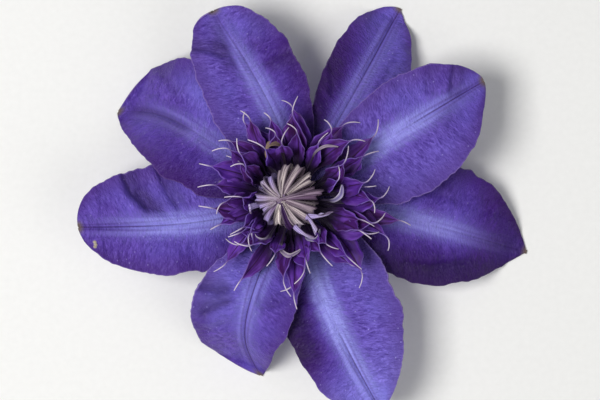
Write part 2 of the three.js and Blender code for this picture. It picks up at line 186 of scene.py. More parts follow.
# azimuth and reach place the tip; bow bends the midrib, most at the share bow_at, and hook turns its end.
# arch holds five heights that pull the midrib. A side is its width, where it is widest, how it tapers to
# the tip, and how far its margin lifts. ripple is how high the waves of the margins are, how many there are
# and where they start. The sap numbers are how light the blade is on its right, in its middle, on its left
# and at its tip: partly its own sap colour and partly painted light and shade, darker where a margin droops
# or lies under another blade and lighter where it faces the light; rib is how dark and deep the midrib is at
# its foot and at its tip; band is how clear the pale band is. A fold is three points, each as millimetres
# from the foot and to the left of the midrib, and a depth: it is hollow to the left of its line, and painted
# shade lies along it. A scar, where a blade has any, is a place and a radius.
tepals = [
    dict(
        azimuth=-13, reach=65.5, bow=1.5, bow_at=0.37, hook=0, arch=(level_low, 15, 15, 10, -3),
        left=(17.3, 0.62, 0.95, -1), right=(16.3, 0.54, 1.1, -1), ripple=(0.9, 2.4, 0.4),
        sap_and_light=(-0.6, 0.8, 0.3, -0.5), rib=(0.1, 0.3), band=1.05,
        folds=[((50, -5), (38, -10.5), (26, -12.5), 0.7), ((27, 7.7), (35.2, 8.7), (46, 7.4), 0.4)],
    ),
    dict(
        azimuth=31.5, reach=60.5, bow=0.3, bow_at=0.5, hook=0, arch=(level_high, 18.2, 19.5, 21, 17),
        left=(13.2, 0.62, 0.55, -0.6), right=(18.2, 0.54, 0.8, -1.2), ripple=(0.8, 2.1, 2.2),
        sap_and_light=(1.1, 1, 1, 0.7), rib=(0.15, 0.9), band=1.25,
        folds=[((55, 11), (50.1, 4.9), (46, -0.5), 0.9), ((48, 12), (43.7, 7.1), (41, 4.5), 0.5),
               ((49, -1.4), (44.9, -2.2), (39, -3), 0.4)],
    ),
    dict(
        azimuth=60.5, reach=59.5, bow=-0.4, bow_at=0.5, hook=0, arch=(level_mid, 16.5, 16, 11, -3),
        left=(10.8, 0.66, 0.6, 0.4), right=(12.6, 0.58, 1, -0.6), ripple=(0.7, 2.2, 4.1),
        sap_and_light=(1.35, 0.6, -0.5, 0.9), rib=(0.6, 0.9), band=0.75,
        folds=[((36, 12), (30.3, 7), (25, 4), 0.5), ((44, -5), (37.2, -5.3), (31, -5), 0.4)],
    ),
    dict(
        azimuth=113, reach=55, bow=-4.2, bow_at=0.34, hook=0, arch=(level_high, 18.2, 19, 20, 17),
        left=(15.3, 0.44, 0.4, 0.5), right=(12.6, 0.64, 0.36, 0.2), ripple=(1.1, 3, 0.9),
        sap_and_light=(0, 0.8, 1, 0.95), rib=(0.5, 0.4), band=0.95,
        folds=[((33, 3.2), (42.4, 1.9), (52, -0.4), 0.9), ((49, -9.5), (41.8, -5.5), (35, -2.8), 0.5),
               ((33.5, -14), (33.3, -7), (32.6, -2.6), 0.9), ((46, 13), (42.1, 6.6), (38, 3), 1.1)],
    ),
    dict(
        azimuth=148, reach=53, bow=-1.2, bow_at=0.6, hook=5.5, arch=(level_mid, 16.4, 17, 24, -4),
        left=(14.5, 0.54, 0.75, 0), right=(17.4, 0.78, 0.26, -0.6), ripple=(0.6, 2.6, 3.3),
        sap_and_light=(1.4, 0.5, -0.1, 0.45), rib=(0.3, 0.4), band=0.8,
        folds=[((28, 0.2), (40, -0.6), (50, -1.6), 1), ((50, -18), (42.4, -9.3), (36, -5), 0.6)],
        scars=[(15.2, 7.5, 0.8)],
    ),
    dict(
        azimuth=187.7, reach=58.5, bow=3, bow_at=0.4, hook=0, arch=(level_low, 14.5, 14.5, 16, 17),
        left=(13.7, 0.52, 0.5, 0.6), right=(16.2, 0.53, 0.42, -2.6), ripple=(0.9, 2.7, 5.2),
        sap_and_light=(0.8, 1.1, 0.5, 0.6), rib=(0.5, 0.9), band=1.1,
        folds=[((42, -17), (39.9, -8.8), (34, -1.8), 1.3), ((39, -11), (35.8, -5.4), (29, -2.8), 0.9),
               ((32.5, -18), (30, -8.9), (26.5, -2.4), 1)],
        scars=[(51.4, 4.2, 0.5), (51.3, 4.9, 0.5), (51.5, 5.5, 0.45)],
    ),
    dict(
        azimuth=250, reach=48.5, bow=-1.5, bow_at=0.5, hook=8.5, arch=(level_high, 18, 19.5, 29, -4),
        left=(12.6, 0.56, 0.8, 0.3), right=(15.6, 0.74, 0.36, -0.8), ripple=(0.5, 2.3, 1.7),
        sap_and_light=(1.3, 0.9, 0.6, 0.6), rib=(0.9, 0.9), band=0.85,
        folds=[((28.5, -16), (27.6, -9.4), (24, -4.5), 1.3), ((36, -13.5), (31.3, -8.2), (27, -3), 1.4),
               ((40, -17), (36.9, -9.5), (33, -2.5), 0.4), ((28.5, 2), (25.9, 6.5), (21, 10.5), 0.6)],
    ),
    dict(
        azimuth=292.5, reach=62, bow=-2.6, bow_at=0.46, hook=0, arch=(level_mid, 16.4, 16.5, 17.5, 16.5),
        left=(18.6, 0.48, 0.75, 0.6), right=(13, 0.6, 0.42, -2.2), ripple=(0.9, 2.5, 0.2),
        sap_and_light=(-0.7, 1.1, 1.15, 1.7), rib=(0.1, 0.8), band=1.4,
        folds=[((27, -12), (30.4, -5.9), (30, -1), 0.5), ((22, -8), (25.8, -2.7), (25, 2), 0.4)],
    ),
]


def lerp(low, high, share):
    """What lies at a share of the way from low to high."""
    return low + (high - low) * share


def smoothstep(value, low, high):
    """A smooth rise from 0 at low to 1 at high."""
    share = min(max((value - low) / (high - low), 0), 1)
    return share * share * (3 - 2 * share)


def bell(value, width):
    """A smooth hump, 1 high, over a value of 0."""
    return math.exp(-((value / width) ** 2))


def side_width(side, t):
    """Half the width of one side of a tepal at the share t of its length."""
    width, widest, taper, _ = side
    rise = taper * widest / (1 - widest)
    body = (t / widest) ** rise * ((1 - t) / (1 - widest)) ** taper
    return max(width * body, lerp(claw_half_width, tip_half_width, t))


right_phase = 2.1  # how far the waves of the right margin run ahead of the left one's
landing = 0.5  # how softly a drooping tip comes down on the ground


def tepal_point(tepal, t, s):
    """The middle surface: t runs from base to tip, s from the right margin (-1) to the left (1)."""
    side = tepal["right"] if s < 0 else tepal["left"]
    skew = math.log(0.5) / math.log(tepal["bow_at"])
    midrib = tepal["bow"] * math.sin(math.pi * t**skew) + tepal["hook"] * t**8
    out = lerp(claw_radius, tepal["reach"], t)
    sideways = midrib + s * side_width(side, t)
    pulls = enumerate(tepal["arch"])
    height = sum(math.comb(4, k) * pull * t**k * (1 - t) ** (4 - k) for k, pull in pulls)
    *_, margin_lift = side
    height += margin_lift * s**2 * math.sin(math.pi * t**0.8)
    size, waves, phase = tepal["ripple"]
    wave = math.sin(math.tau * waves * t + phase + (right_phase if s < 0 else 0))
    height += size * s**2 * smoothstep(t, 0.3, 0.7) * wave
    ground = tepal_thickness / 2
    height = ground + (height - ground + math.hypot(height - ground, landing)) / 2
    angle = math.radians(tepal["azimuth"])
    outward = Vector((math.cos(angle), math.sin(angle), 0))
    left = Vector((-math.sin(angle), math.cos(angle), 0))
    return outward * out + left * sideways + Vector((0, 0, height))


def beside_line(at, line):
    """How far a point lies to the left of a bent line, and a share that fades towards the line's ends."""
    found = []
    for k, (start, stop) in enumerate(zip(line, line[1:])):
        step = stop - start
        share = min(max((at - start).dot(step) / step.length_squared, 0), 1)
        off = at - start - step * share
        found.append((off.length, step.x * off.y - step.y * off.x, (k + share) / (len(line) - 1)))
    distance, side, place = min(found)
    return math.copysign(distance, side), smoothstep(place, 0, 0.2) * (1 - smoothstep(place, 0.7, 1))


# Hollows, and stripes of painted shade, across a fold: the share of its depth, millimetres left of its line,
# and the width.
fold_hollows = [(0.8, 0, 1.1), (0.6, 2.5, 2.5), (-0.5, -2, 1.6)]
crease_shade_stripes = [(0.4, 0, 0.7), (0.6, 1.5, 2)]


def fold_at(folds, at):
    """How far the folds press a place in, and how much painted shade lies along them."""
    press, shade = 0, 0
    for line, depth in folds:
        gap, fade = beside_line(at, line)
        press += fade * depth * sum(share * bell(gap - aside, width) for share, aside, width in fold_hollows)
        shade += fade * depth * sum(share * bell(gap - aside, width) for share, aside, width in crease_shade_stripes)
    return press, min(shade, 1)


midrib_depth, midrib_width = 0.5, 0.4
rib_height, rib_aside, rib_width = 0.3, 1.3, 0.7
vein_depth, vein_aside, vein_width = 0.08, 2.6, 0.4
vein_slant = 0.35  # how far veins and wrinkles run towards the tip for each millimetre out from the midrib
drift_reach, drift_size = 3, 9
pucker_height, pucker_length, pucker_width = 1.1, 6, 15
crepe_height, crepe_length, crepe_width = 0.15, 0.8, 2.2
sway_height, sway_length, sway_width = 1.2, 13, 9
frill_height, frill_length = 0.5, 3.4


def tepal_relief(length, side, t, s, rib, seed):
    """How far the blade stands proud of its middle surface: veins, puckers, crepe and a frilled margin."""
    fade = smoothstep(t, 0, 0.15) * (1 - smoothstep(t, 0.9, 1))
    away = abs(side)
    half = math.copysign(4, side)
    ribs = rib * (rib_height * bell(away - rib_aside, rib_width) - midrib_depth * bell(side, midrib_width))
    ribs -= vein_depth * bell(away - vein_aside, vein_width)
    drift = noise.noise(Vector((length / drift_size, side / drift_size, seed)))
    over = length - vein_slant * away + drift_reach * drift
    down = away + vein_slant * length
    folded = noise.noise(Vector((over / pucker_length, down / pucker_width, seed + half)))
    puckers = (0.5 - abs(folded)) * pucker_height * smoothstep(away, 1.5, 7)
    crepe = crepe_height * noise.noise(Vector((over / crepe_length, down / crepe_width, seed + 7)))
    crepe *= smoothstep(away, 0.5, 4)
    sway = sway_height * noise.noise(Vector((length / sway_length, side / sway_width, seed + 3)))
    frill = frill_height * noise.noise(Vector((length / frill_length, half, seed))) * abs(s) ** 5
    return fade * (ribs + puckers + crepe + sway) + frill * smoothstep(t, 0.2, 0.5)


margin_strays = [(0.07, 9), (0.03, 31)]  # shares of the width, and how many along the blade


def ragged(t, s, seed):
    """The share by which a margin strays outward from its drawn outline."""
    side = math.copysign(2, s)
    stray = sum(size * noise.noise(Vector((t * times, side, seed))) for size, times in margin_strays)
    return stray * abs(s) ** 3 * smoothstep(t, 0.1, 0.3) * (1 - smoothstep(t, 0.9, 1))


def add_sheet(shape, columns, rows, point_at, marks_at):
    """Adds a grid to a shape, puts each point where point_at(t, s) says and marks it with named numbers."""
    made = bmesh.ops.create_grid(shape, x_segments=columns, y_segments=rows, size=0.5)["verts"]
    for point in made:
        s, t = -2 * point.co.x, point.co.y + 0.5
        for name, value in marks_at(t, s).items():
            point[shape.verts.layers.float[name]] = value
        point.co = point_at(t, s)


def new_shape(marks):
    """A mesh in the making whose points carry named numbers, which the materials read."""
    shape = bmesh.new()
    for name in marks:
        shape.verts.layers.float.new(name)
    return shape


def thicken(piece, thickness, underside=0):
    """Gives a sheet its thickness, both ways. The underside may take another of the piece's materials."""
    wall = piece.modifiers.new("thickness", "SOLIDIFY")
    wall.thickness = thickness * millimetre
    wall.offset = 0
    wall.material_offset = underside


# Living petal tissue: a satin skin of domed cells over coloured sap. It is violet-blue with a pale band along
# the middle, dark midrib lines, painted shade in its folds and at its foot under the crown, and fine wrinkles
# that run out from the band to the margin. The wrinkles are about 0.5 mm apart, and their colour is drawn
# coarser to show, in lighter streaks that are partly sap and partly painted highlight. Small pale flecks are
# partly pollen and partly painted glints. The blade's own marks are in millimetres, and Object coordinates in
# metres.
# The tone mark carries painted light and shade with the sap's colour, and the fold mark holds the painted
# shade of the folds.
petal_marks = ("across", "along", "side", "length", "tone", "rib", "band", "fold", "scar")
wrinkle_width, crinkle_width = 0.87, 0.5
wrinkle_stretch, wrinkle_drift = 0.38, 0.13
stripe_width, stripe_length = 1.33, 14.3
cloud_width = 13.3 * millimetre
fleck_spacing = 2.38 * millimetre
petal_tissue = new_material("violet_petal_tissue")
across, along, side, length, tone, rib_strength, band_strength, fold, scar = (
    add_node(petal_tissue, "ShaderNodeAttribute", attribute_name=name).outputs["Fac"] for name in petal_marks
)
away = add_node(petal_tissue, "ShaderNodeMath", {0: side}, operation="ABSOLUTE")
margin = add_node(petal_tissue, "ShaderNodeMath", {0: across}, operation="ABSOLUTE")

# Places over and down the wrinkles, and the noises drawn on them.
over_wrinkles = add_node(
    petal_tissue, "ShaderNodeMath", {0: away, 1: -vein_slant, 2: length}, operation="MULTIPLY_ADD"
)
down_part = add_node(petal_tissue, "ShaderNodeMath", {0: length, 1: wrinkle_drift}, operation="MULTIPLY")
down_wrinkles = add_node(
    petal_tissue, "ShaderNodeMath", {0: away, 1: wrinkle_stretch, 2: down_part}, operation="MULTIPLY_ADD"
)
wrinkle_place = add_node(
    petal_tissue, "ShaderNodeCombineXYZ", {"X": over_wrinkles, "Y": down_wrinkles, "Z": along}
)
streaks = add_node(
    petal_tissue,
    "ShaderNodeTexNoise",
    {"Vector": wrinkle_place, "Scale": 1 / wrinkle_width, "Detail": 4, "Roughness": 0.65, "Distortion": 0.9},
)
crinkle = add_node(
    petal_tissue,
    "ShaderNodeTexNoise",
    {"Vector": wrinkle_place, "Scale": 1 / crinkle_width, "Detail": 3, "Roughness": 0.6, "Distortion": 1},
)
stripe_place = add_node(petal_tissue, "ShaderNodeCombineXYZ", {"X": side, "Y": length, "Z": across})
stripe_size = add_node(
    petal_tissue,
    "ShaderNodeVectorMath",
    {0: stripe_place, 1: (1 / stripe_width, 1 / stripe_length, 0)},
    operation="MULTIPLY",
)
stripes = add_node(petal_tissue, "ShaderNodeTexNoise", {"Vector": stripe_size, "Scale": 1, "Detail": 3})
place = add_node(petal_tissue, "ShaderNodeTexCoord").outputs["Object"]
clouds = add_node(
    petal_tissue, "ShaderNodeTexNoise", {"Vector": place, "Scale": 1 / cloud_width, "Detail": 2}
)
cells = add_node(petal_tissue, "ShaderNodeTexVoronoi", {"Vector": place, "Scale": 1 / fleck_spacing})

# The pale band: its sides are torn by the wrinkles, it fades at both ends, and stripes run along it.
band_edge = add_node(petal_tissue, "ShaderNodeMath", {0: streaks, 1: 5, 2: away}, operation="MULTIPLY_ADD")
band = add_node(
    petal_tissue,
    "ShaderNodeMapRange",
    {"Value": band_edge, "From Min": 2.4, "From Max": 7.5, "To Min": 1, "To Max": 0},
    interpolation_type="SMOOTHSTEP",
)
for limits in (
    {"Value": along, "From Min": 0.05, "From Max": 0.3, "To Min": 0.3},
    {"Value": along, "From Min": 0.55, "From Max": 0.97, "To Min": 0.85, "To Max": 0.08},
    {"Value": stripes, "From Min": 0.35, "From Max": 0.6, "To Min": 0.5},
):
    limit = add_node(petal_tissue, "ShaderNodeMapRange", limits)
    band = add_node(petal_tissue, "ShaderNodeMath", {0: band, 1: limit}, operation="MULTIPLY")
band_share = add_node(
    petal_tissue, "ShaderNodeMath", {0: band, 1: band_strength}, operation="MULTIPLY", use_clamp=True
)

# The dark midrib, and a fainter line on each side that draws in towards it.
midrib = add_node(
    petal_tissue,
    "ShaderNodeMapRange",
    {"Value": away, "From Min": 0.08, "From Max": 0.42, "To Min": 1, "To Max": 0},
)
line_place = add_node(petal_tissue, "ShaderNodeMapRange", {"Value": along, "To Min": 2.4, "To Max": 0.6})
line_away = add_node(petal_tissue, "ShaderNodeMath", {0: away, 1: line_place}, operation="SUBTRACT")
line_near = add_node(petal_tissue, "ShaderNodeMath", {0: line_away}, operation="ABSOLUTE")
side_line = add_node(
    petal_tissue,
    "ShaderNodeMapRange",
    {"Value": line_near, "From Min": 0.05, "From Max": 0.4, "To Min": 0.4, "To Max": 0},
)
lines = add_node(petal_tissue, "ShaderNodeMath", {0: midrib, 1: side_line}, operation="MAXIMUM")
rib_share = add_node(
    petal_tissue, "ShaderNodeMath", {0: lines, 1: rib_strength}, operation="MULTIPLY", use_clamp=True
)

# How strongly the other colours lie on the sap. The lighter streaks along the wrinkles are partly sap and
# partly painted highlight on their crests.
streak_and_highlight_share = add_node(
    petal_tissue, "ShaderNodeMapRange", {"Value": streaks, "From Min": 0.36, "From Max": 0.66}
)
cloud_share = add_node(
    petal_tissue, "ShaderNodeMapRange", {"Value": clouds, "From Min": 0.4, "From Max": 0.62, "To Max": 0.45}
)
edge_share = add_node(
    petal_tissue,
    "ShaderNodeMapRange",
    {"Value": margin, "From Min": 0.5, "From Max": 1, "To Max": 0.7},
    interpolation_type="SMOOTHSTEP",
)
# Painted shade: the foot of each blade darkens where it lies under the crown.
foot_shade_share = add_node(
    petal_tissue,
    "ShaderNodeMapRange",
    {"Value": along, "From Min": 0.12, "From Max": 0.42, "To Min": 0.75, "To Max": 0},
)
# Painted shade along the folds, from the fold mark.
crease_shade_share = add_node(petal_tissue, "ShaderNodeMath", {0: fold, 1: 0.72}, operation="MULTIPLY")
# Pale flecks: partly pollen specks and partly painted glints.
fleck_and_glint_share = add_node(
    petal_tissue,
    "ShaderNodeMapRange",
    {"Value": cells.outputs["Distance"], "From Min": 0.05, "From Max": 0.11, "To Min": 0.4, "To Max": 0},
)
rim_share = add_node(
    petal_tissue, "ShaderNodeMapRange", {"Value": margin, "From Min": 0.978, "From Max": 0.992, "To Max": 0.5}
)
tip_length = add_node(
    petal_tissue, "ShaderNodeMapRange", {"Value": along, "From Min": 0.97, "From Max": 0.995, "To Max": 0.85}
)
tip_breadth = add_node(
    petal_tissue,
    "ShaderNodeMapRange",
    {"Value": away, "From Min": 0.8, "From Max": 2.2, "To Min": 1, "To Max": 0},
)
tip_share = add_node(petal_tissue, "ShaderNodeMath", {0: tip_length, 1: tip_breadth}, operation="MULTIPLY")

living = lay_colours(
    petal_tissue,
    colour("#412988"),
    [
        (streak_and_highlight_share, "#6953ba"),
        (cloud_share, "#5f55ba"),
        (edge_share, "#482b7e"),
        (band_share, "#9293e4"),
        (foot_shade_share, "#301a58"),
        (rib_share, "#3a1f66"),
        (crease_shade_share, "#33205e"),
        (fleck_and_glint_share, "#a59cdc"),
        (rim_share, "#8a72b4"),
    ],
)
# Less sap makes a blade lighter, greyer and bluer. The tone also carries painted light and shade, which
# raises a blade's value where it faces the light and lowers it where it droops or lies under another.
hue, strength, light = (
    add_node(petal_tissue, "ShaderNodeMapRange", {"Value": tone, "To Min": low, "To Max": high}, clamp=False)
    for low, high in ((0.513, 0.502), (1.1, 0.98), (0.64, 1.2))
)
toned = add_node(
    petal_tissue,
    "ShaderNodeHueSaturation",
    {"Hue": hue, "Saturation": strength, "Value": light, "Color": living},
)
withered = lay_colours(petal_tissue, toned, [(tip_share, "#6f5f48"), (scar, "#b3a78c")])
crinkled = add_node(
    petal_tissue, "ShaderNodeBump", {"Height": crinkle, "Strength": 1, "Distance": 0.5 * millimetre}
)
finish_material(
    petal_tissue,
    {
        "Base Color": withered,
        "Roughness": 0.5,
        "Specular IOR Level": 0.3,
        "Sheen Weight": 0.15,
        "Sheen Roughness": 0.4,
        "Sheen Tint": colour("#8f8ae0"),
        "Normal": crinkled,
    },
)

# The underside of the same tissue: paler and duller, with a green-grey bar along the raised midrib.
mottle_width = 2.38 * millimetre
underside = new_material("pale_petal_underside")
side = add_node(underside, "ShaderNodeAttribute", attribute_name="side").outputs["Fac"]
away = add_node(underside, "ShaderNodeMath", {0: side}, operation="ABSOLUTE")
place = add_node(underside, "ShaderNodeTexCoord").outputs["Object"]
mottle = add_node(underside, "ShaderNodeTexNoise", {"Vector": place, "Scale": 1 / mottle_width, "Detail": 4})
bar_share = add_node(
    underside,
    "ShaderNodeMapRange",
    {"Value": away, "From Min": 0.6, "From Max": 4.5, "To Min": 0.8, "To Max": 0},
    interpolation_type="SMOOTHSTEP",
)
barred = lay_colours(underside, colour("#6f60b4"), [(mottle, "#9b90cf"), (bar_share, "#a3a59c")])
mottled = add_node(
    underside, "ShaderNodeBump", {"Height": mottle, "Strength": 0.4, "Distance": 0.2 * millimetre}
)
finish_material(underside, {"Base Color": barred, "Roughness": 0.65, "Sheen Weight": 0.2, "Normal": mottled})

for number, tepal in enumerate(tepals, start=1):

    def tepal_marks(t, s):
        """Shares across and along the blade, millimetres left of the midrib and from its foot, and looks."""
        grown = 1 - (1 - t) ** tip_crowding
        breadth = side_width(tepal["right"] if s < 0 else tepal["left"], grown)
        # These tones are partly the sap's colour and partly painted light and shade.
        right, middle, left, tip = tepal["sap_and_light"]
        tone = lerp(middle, right if s < 0 else left, smoothstep(abs(s), 0.05, 0.65))
        return {
            "across": s,
            "along": grown,
            "side": s * breadth,
            "length": grown * (tepal["reach"] - claw_radius),
            "tone": lerp(tone, tip, smoothstep(grown, 0.62, 0.92)),
            "rib": lerp(*tepal["rib"], smoothstep(grown, 0.5, 0.8)),
            "band": tepal["band"],
        }

    shape = new_shape(petal_marks)
    add_sheet(
        shape,
        tepal_columns,
        tepal_rows,
        lambda t, s: tepal_point(tepal, 1 - (1 - t) ** tip_crowding, s * (1 + ragged(t, s, number))),
        tepal_marks,
    )
    shape.normal_update()
    marks = shape.verts.layers.float
    folds = [([Vector(place) for place in line], depth) for *line, depth in tepal["folds"]]
    for point in shape.verts:
        place = Vector((point[marks["length"]], point[marks["side"]]))
        # The fold mark is the painted shade along the folds.
        press, point[marks["fold"]] = fold_at(folds, place)
        scars = [1 - (place - Vector(scar[:2])).length / scar[2] for scar in tepal.get("scars", [])]
        point[marks["scar"]] = smoothstep(max(scars, default=0), 0, 0.5)
        relief = tepal_relief(
            *place, point[marks["along"]], point[marks["across"]], point[marks["rib"]], number * 10
        )
        point.co += point.normal * (relief - press + scar_height * point[marks["scar"]])
        point.co.z = max(point.co.z, least_height)
    blade = set_in_place(
        f"dressed_tepal_{number}", shape, [petal_tissue, underside], "tepal_violet", f"tepal_{number}"
    )
    thicken(blade, tepal_thickness, underside=1)

# ---- The crown of staminodes ----
# Stamens that have grown into narrow petals: each has a dark neck deepened by painted shade, a folded violet
# blade with a dark keel and a pale rim, and a thread at its tip that curls back. They spring from a small
# cushion, each turned on by the golden angle from the one before, the outer ones low and the inner ones
# steep.

crown_foot, crown_head = 19.3, 22.6
cushion_profile = [
    (0, crown_foot),
    (4.9, crown_foot),
    (5.4, crown_foot + 0.9),
    (4.9, crown_head - 1.2),
    (3.2, crown_head - 0.2),
    (0, crown_head),
]
staminodes = 56
golden_angle = 137.508
outer_length, inner_length = 22.5, 15
least_length, length_spread = 0.78, 0.32
outer_half_width, inner_half_width = 2.9, 2.2
least_width, width_spread = 0.8, 0.45
outer_climb, inner_climb, climb_spread = 13, 62, 18
outer_recurve, inner_recurve = 55, 95
least_recurve, recurve_spread = 0.7, 0.5
azimuth_spread, bend_spread, hook_spread, twist_spread = 30, 60, 150, 112
least_fold, fold_spread = 0.1, 0.55
outer_root, inner_root, root_climb = Vector((4.2, 20.1)), Vector((4.6, 21.4)), 2
neck_half_width, thread_half_width = 0.7, 0.42
least_thread, thread_spread = 3.6, 2.8
crown_lean = 0.1
blade_rows = [(0, 0), (0.26, 0.03), (0.5, 0.76), (0.7, 1), (0.87, 0.66), (1, 0)]  # along, and how broad
thread_rows = [(0.3, 0.36), (0.65, 0.34), (1, 0.3)]
thread_fineness = 0.44
staminode_thickness = 0.25
staminode_columns, staminode_rows = 12, 60
whorl_names = ("outer", "middle", "inner")


def draws_from(seed):
    """A repeatable run of draws from 0 to 1."""
    multiplier, modulus = 16807, 2147483647
    state = seed
    while True:
        state = state * multiplier % modulus
        yield state / modulus


def spline(values, share):
    """The value at a share of the way through a row of them, by a smooth curve through each."""
    place = share * (len(values) - 1)
    k = min(int(place), len(values) - 2)
    f = place - k
    before, after = values[max(k - 1, 0)], values[min(k + 2, len(values) - 1)]
    here, there = values[k], values[k + 1]
    bend = (2 * before - 5 * here + 4 * there - after) * f + (3 * here - before - 3 * there + after) * f * f
    return here + ((there - before) + bend) * (f / 2)


def blade_frames(azimuth, root, length, twist, stations):
    """Places, leftward and upward directions and half widths at each station along a blade's path.

    A station is a share of the length, the half width there, and the climb and turn of the way to it.
    """
    angle = math.radians(azimuth)
    at = Vector((root.x * math.cos(angle), root.x * math.sin(angle), root.y))
    frames = []
    last_share = 0
    for share, half, climb, turn in stations:
        heading, rise = angle + math.radians(turn), math.radians(climb)
        forward = Vector(
            (math.cos(heading) * math.cos(rise), math.sin(heading) * math.cos(rise), math.sin(rise))
        )
        at = at + forward * ((share - last_share) * length)
        last_share = share
        left = Vector((-math.sin(heading), math.cos(heading), 0))
        left.rotate(Quaternion(forward, math.radians(twist * share)))
        frames.append((at, left, forward.cross(left).normalized(), half))
    return [list(column) for column in zip(*frames)]


# A leafy blade is ruffled by noise. Its outline strays by shares of its width; its margins curl and its whole
# surface crumples by so many millimetres; each has a number of waves along it. A groove marks its keel.
outline_ruffles = [(0.3, 5), (0.2, 15)]
curl_height, curl_waves = 1.1, 8
crumple_height, crumple_waves, crumples_across = 0.5, 6, 1.6
keel_depth, keel_width = 0.2, 0.1
leafless_half, leafy_half = 0.8, 1.6  # a blade this narrow has no ruffles, and one this broad has them all
thread_taper = 1.25  # where a thread would come to a point, as a share of its blade's length


def add_blade(shape, columns, rows, shares, frames, end, fold, seed, own):
    """Adds one narrow blade along its frames: folded along its keel, ruffled, drawn out past the share end.

    own holds the marks that the whole blade shares.
    """
    places, lefts, ups, halves = frames

    def share_at(t):
        place = t * (len(shares) - 1)
        k = min(int(place), len(shares) - 2)
        return lerp(shares[k], shares[k + 1], place - k)

    def point_at(t, s):
        half = spline(halves, t)
        share = share_at(t)
        leafy = smoothstep(half, leafless_half, leafy_half)
        side = math.copysign(3, s)
        for k, (size, waves) in enumerate(outline_ruffles):
            half *= 1 + leafy * size * noise.noise(Vector((t * waves, side, seed + 2 * k)))
        if end < 1:
            fine = thread_fineness * (thread_taper - share) / (thread_taper - end)
            half *= lerp(1, fine, smoothstep(share, end - 0.1, end + 0.05))
        lift = fold * half * abs(s) ** 1.2
        lift += leafy * curl_height * s * s * noise.noise(Vector((t * curl_waves, side, seed + 4)))
        crumpled = Vector((t * crumple_waves, s * crumples_across, seed + 6))
        lift += leafy * crumple_height * noise.noise(crumpled)
        lift -= leafy * keel_depth * bell(s, keel_width)
        return spline(places, t) + spline(lefts, t) * (half * s) + spline(ups, t) * lift

    def marks_at(t, s):
        share = share_at(t)
        drawn = 0 if end >= 1 else smoothstep(share, end - 0.02, lerp(end, 1, 0.6))
        return {"across": s, "along": min(share / end, 1), "thread": drawn, **own}

    add_sheet(shape, columns, rows, point_at, marks_at)


# Staminode tissue is petal tissue again, but darker with sap and velvety. It is nearly black at the neck,
# partly its own colour and partly painted shade of the deep well round the tuft, and the rim and thread,
# which have no sap, dry to a creamy pink. Its grain and its patches of painted shade where the blades fold
# are drawn on each blade's own shares, and shuffled so that no two blades are alike.
blade_marks = ("across", "along", "thread", "tone")
grain_width, grain_length, grain_shuffle = 1.21, 9.38, 40
patch_width, patch_length, patch_shuffle = 2.64, 6.43, 90
crown_tissue = new_material("dark_staminode_tissue")
across, along, thread, tone = (
    add_node(crown_tissue, "ShaderNodeAttribute", attribute_name=name).outputs["Fac"] for name in blade_marks
)
away = add_node(crown_tissue, "ShaderNodeMath", {0: across}, operation="ABSOLUTE")
place = add_node(crown_tissue, "ShaderNodeCombineXYZ", {"X": across, "Y": along, "Z": tone})
grain_size = add_node(
    crown_tissue,
    "ShaderNodeVectorMath",
    {0: place, 1: (outer_half_width / grain_width, outer_length / grain_length, grain_shuffle)},
    operation="MULTIPLY",
)
grain = add_node(crown_tissue, "ShaderNodeTexNoise", {"Vector": grain_size, "Scale": 1, "Detail": 4})
patch_size = add_node(
    crown_tissue,
    "ShaderNodeVectorMath",
    {0: place, 1: (outer_half_width / patch_width, outer_length / patch_length, patch_shuffle)},
    operation="MULTIPLY",
)
# Patches of painted shade where the blades fold.
shade_patches = add_node(crown_tissue, "ShaderNodeTexNoise", {"Vector": patch_size, "Scale": 1, "Detail": 2})
grain_share = add_node(
    crown_tissue, "ShaderNodeMapRange", {"Value": grain, "From Min": 0.44, "From Max": 0.66, "To Max": 0.8}
)
patch_shade_share = add_node(
    crown_tissue, "ShaderNodeMapRange", {"Value": shade_patches, "From Min": 0.5, "From Max": 0.66, "To Max": 0.7}
)
keel_share = add_node(
    crown_tissue,
    "ShaderNodeMapRange",
    {"Value": away, "From Min": 0.02, "From Max": 0.12, "To Min": 0.9, "To Max": 0},
)
rim_edge = add_node(crown_tissue, "ShaderNodeMapRange", {"Value": away, "From Min": 0.94, "From Max": 1})
rim_rise = add_node(
    crown_tissue,
    "ShaderNodeMapRange",
    {"Value": along, "From Min": 0.6, "From Max": 1, "To Min": 0.05, "To Max": 0.6},
)
rim_share = add_node(crown_tissue, "ShaderNodeMath", {0: rim_edge, 1: rim_rise}, operation="MULTIPLY")
# Painted shade: the neck goes nearly black, partly its own colour and partly the shade of the well round the
# tuft.
neck_and_well_shade_share = add_node(
    crown_tissue,
    "ShaderNodeMapRange",
    {"Value": along, "From Min": 0.35, "From Max": 0.8, "To Min": 0.98, "To Max": 0},
    interpolation_type="SMOOTHSTEP",
)
blended = lay_colours(
    crown_tissue,
    colour("#40135a"),
    [
        (tone, "#522692"),
        (grain_share, "#7846b8"),
        (patch_shade_share, "#380942"),
        (keel_share, "#2c0830"),
        (rim_share, "#8c76c6"),
        (neck_and_well_shade_share, "#170822"),
        (thread, "#d4c6d6"),
    ],
)
velvety = add_node(
    crown_tissue, "ShaderNodeBump", {"Height": grain, "Strength": 0.5, "Distance": 0.3 * millimetre}
)
finish_material(
    crown_tissue,
    {
        "Base Color": blended,
        "Roughness": 0.55,
        "Specular IOR Level": 0.25,
        "Sheen Weight": 0.1,
        "Sheen Tint": colour("#a07ae0"),
        "Normal": velvety,
    },
)

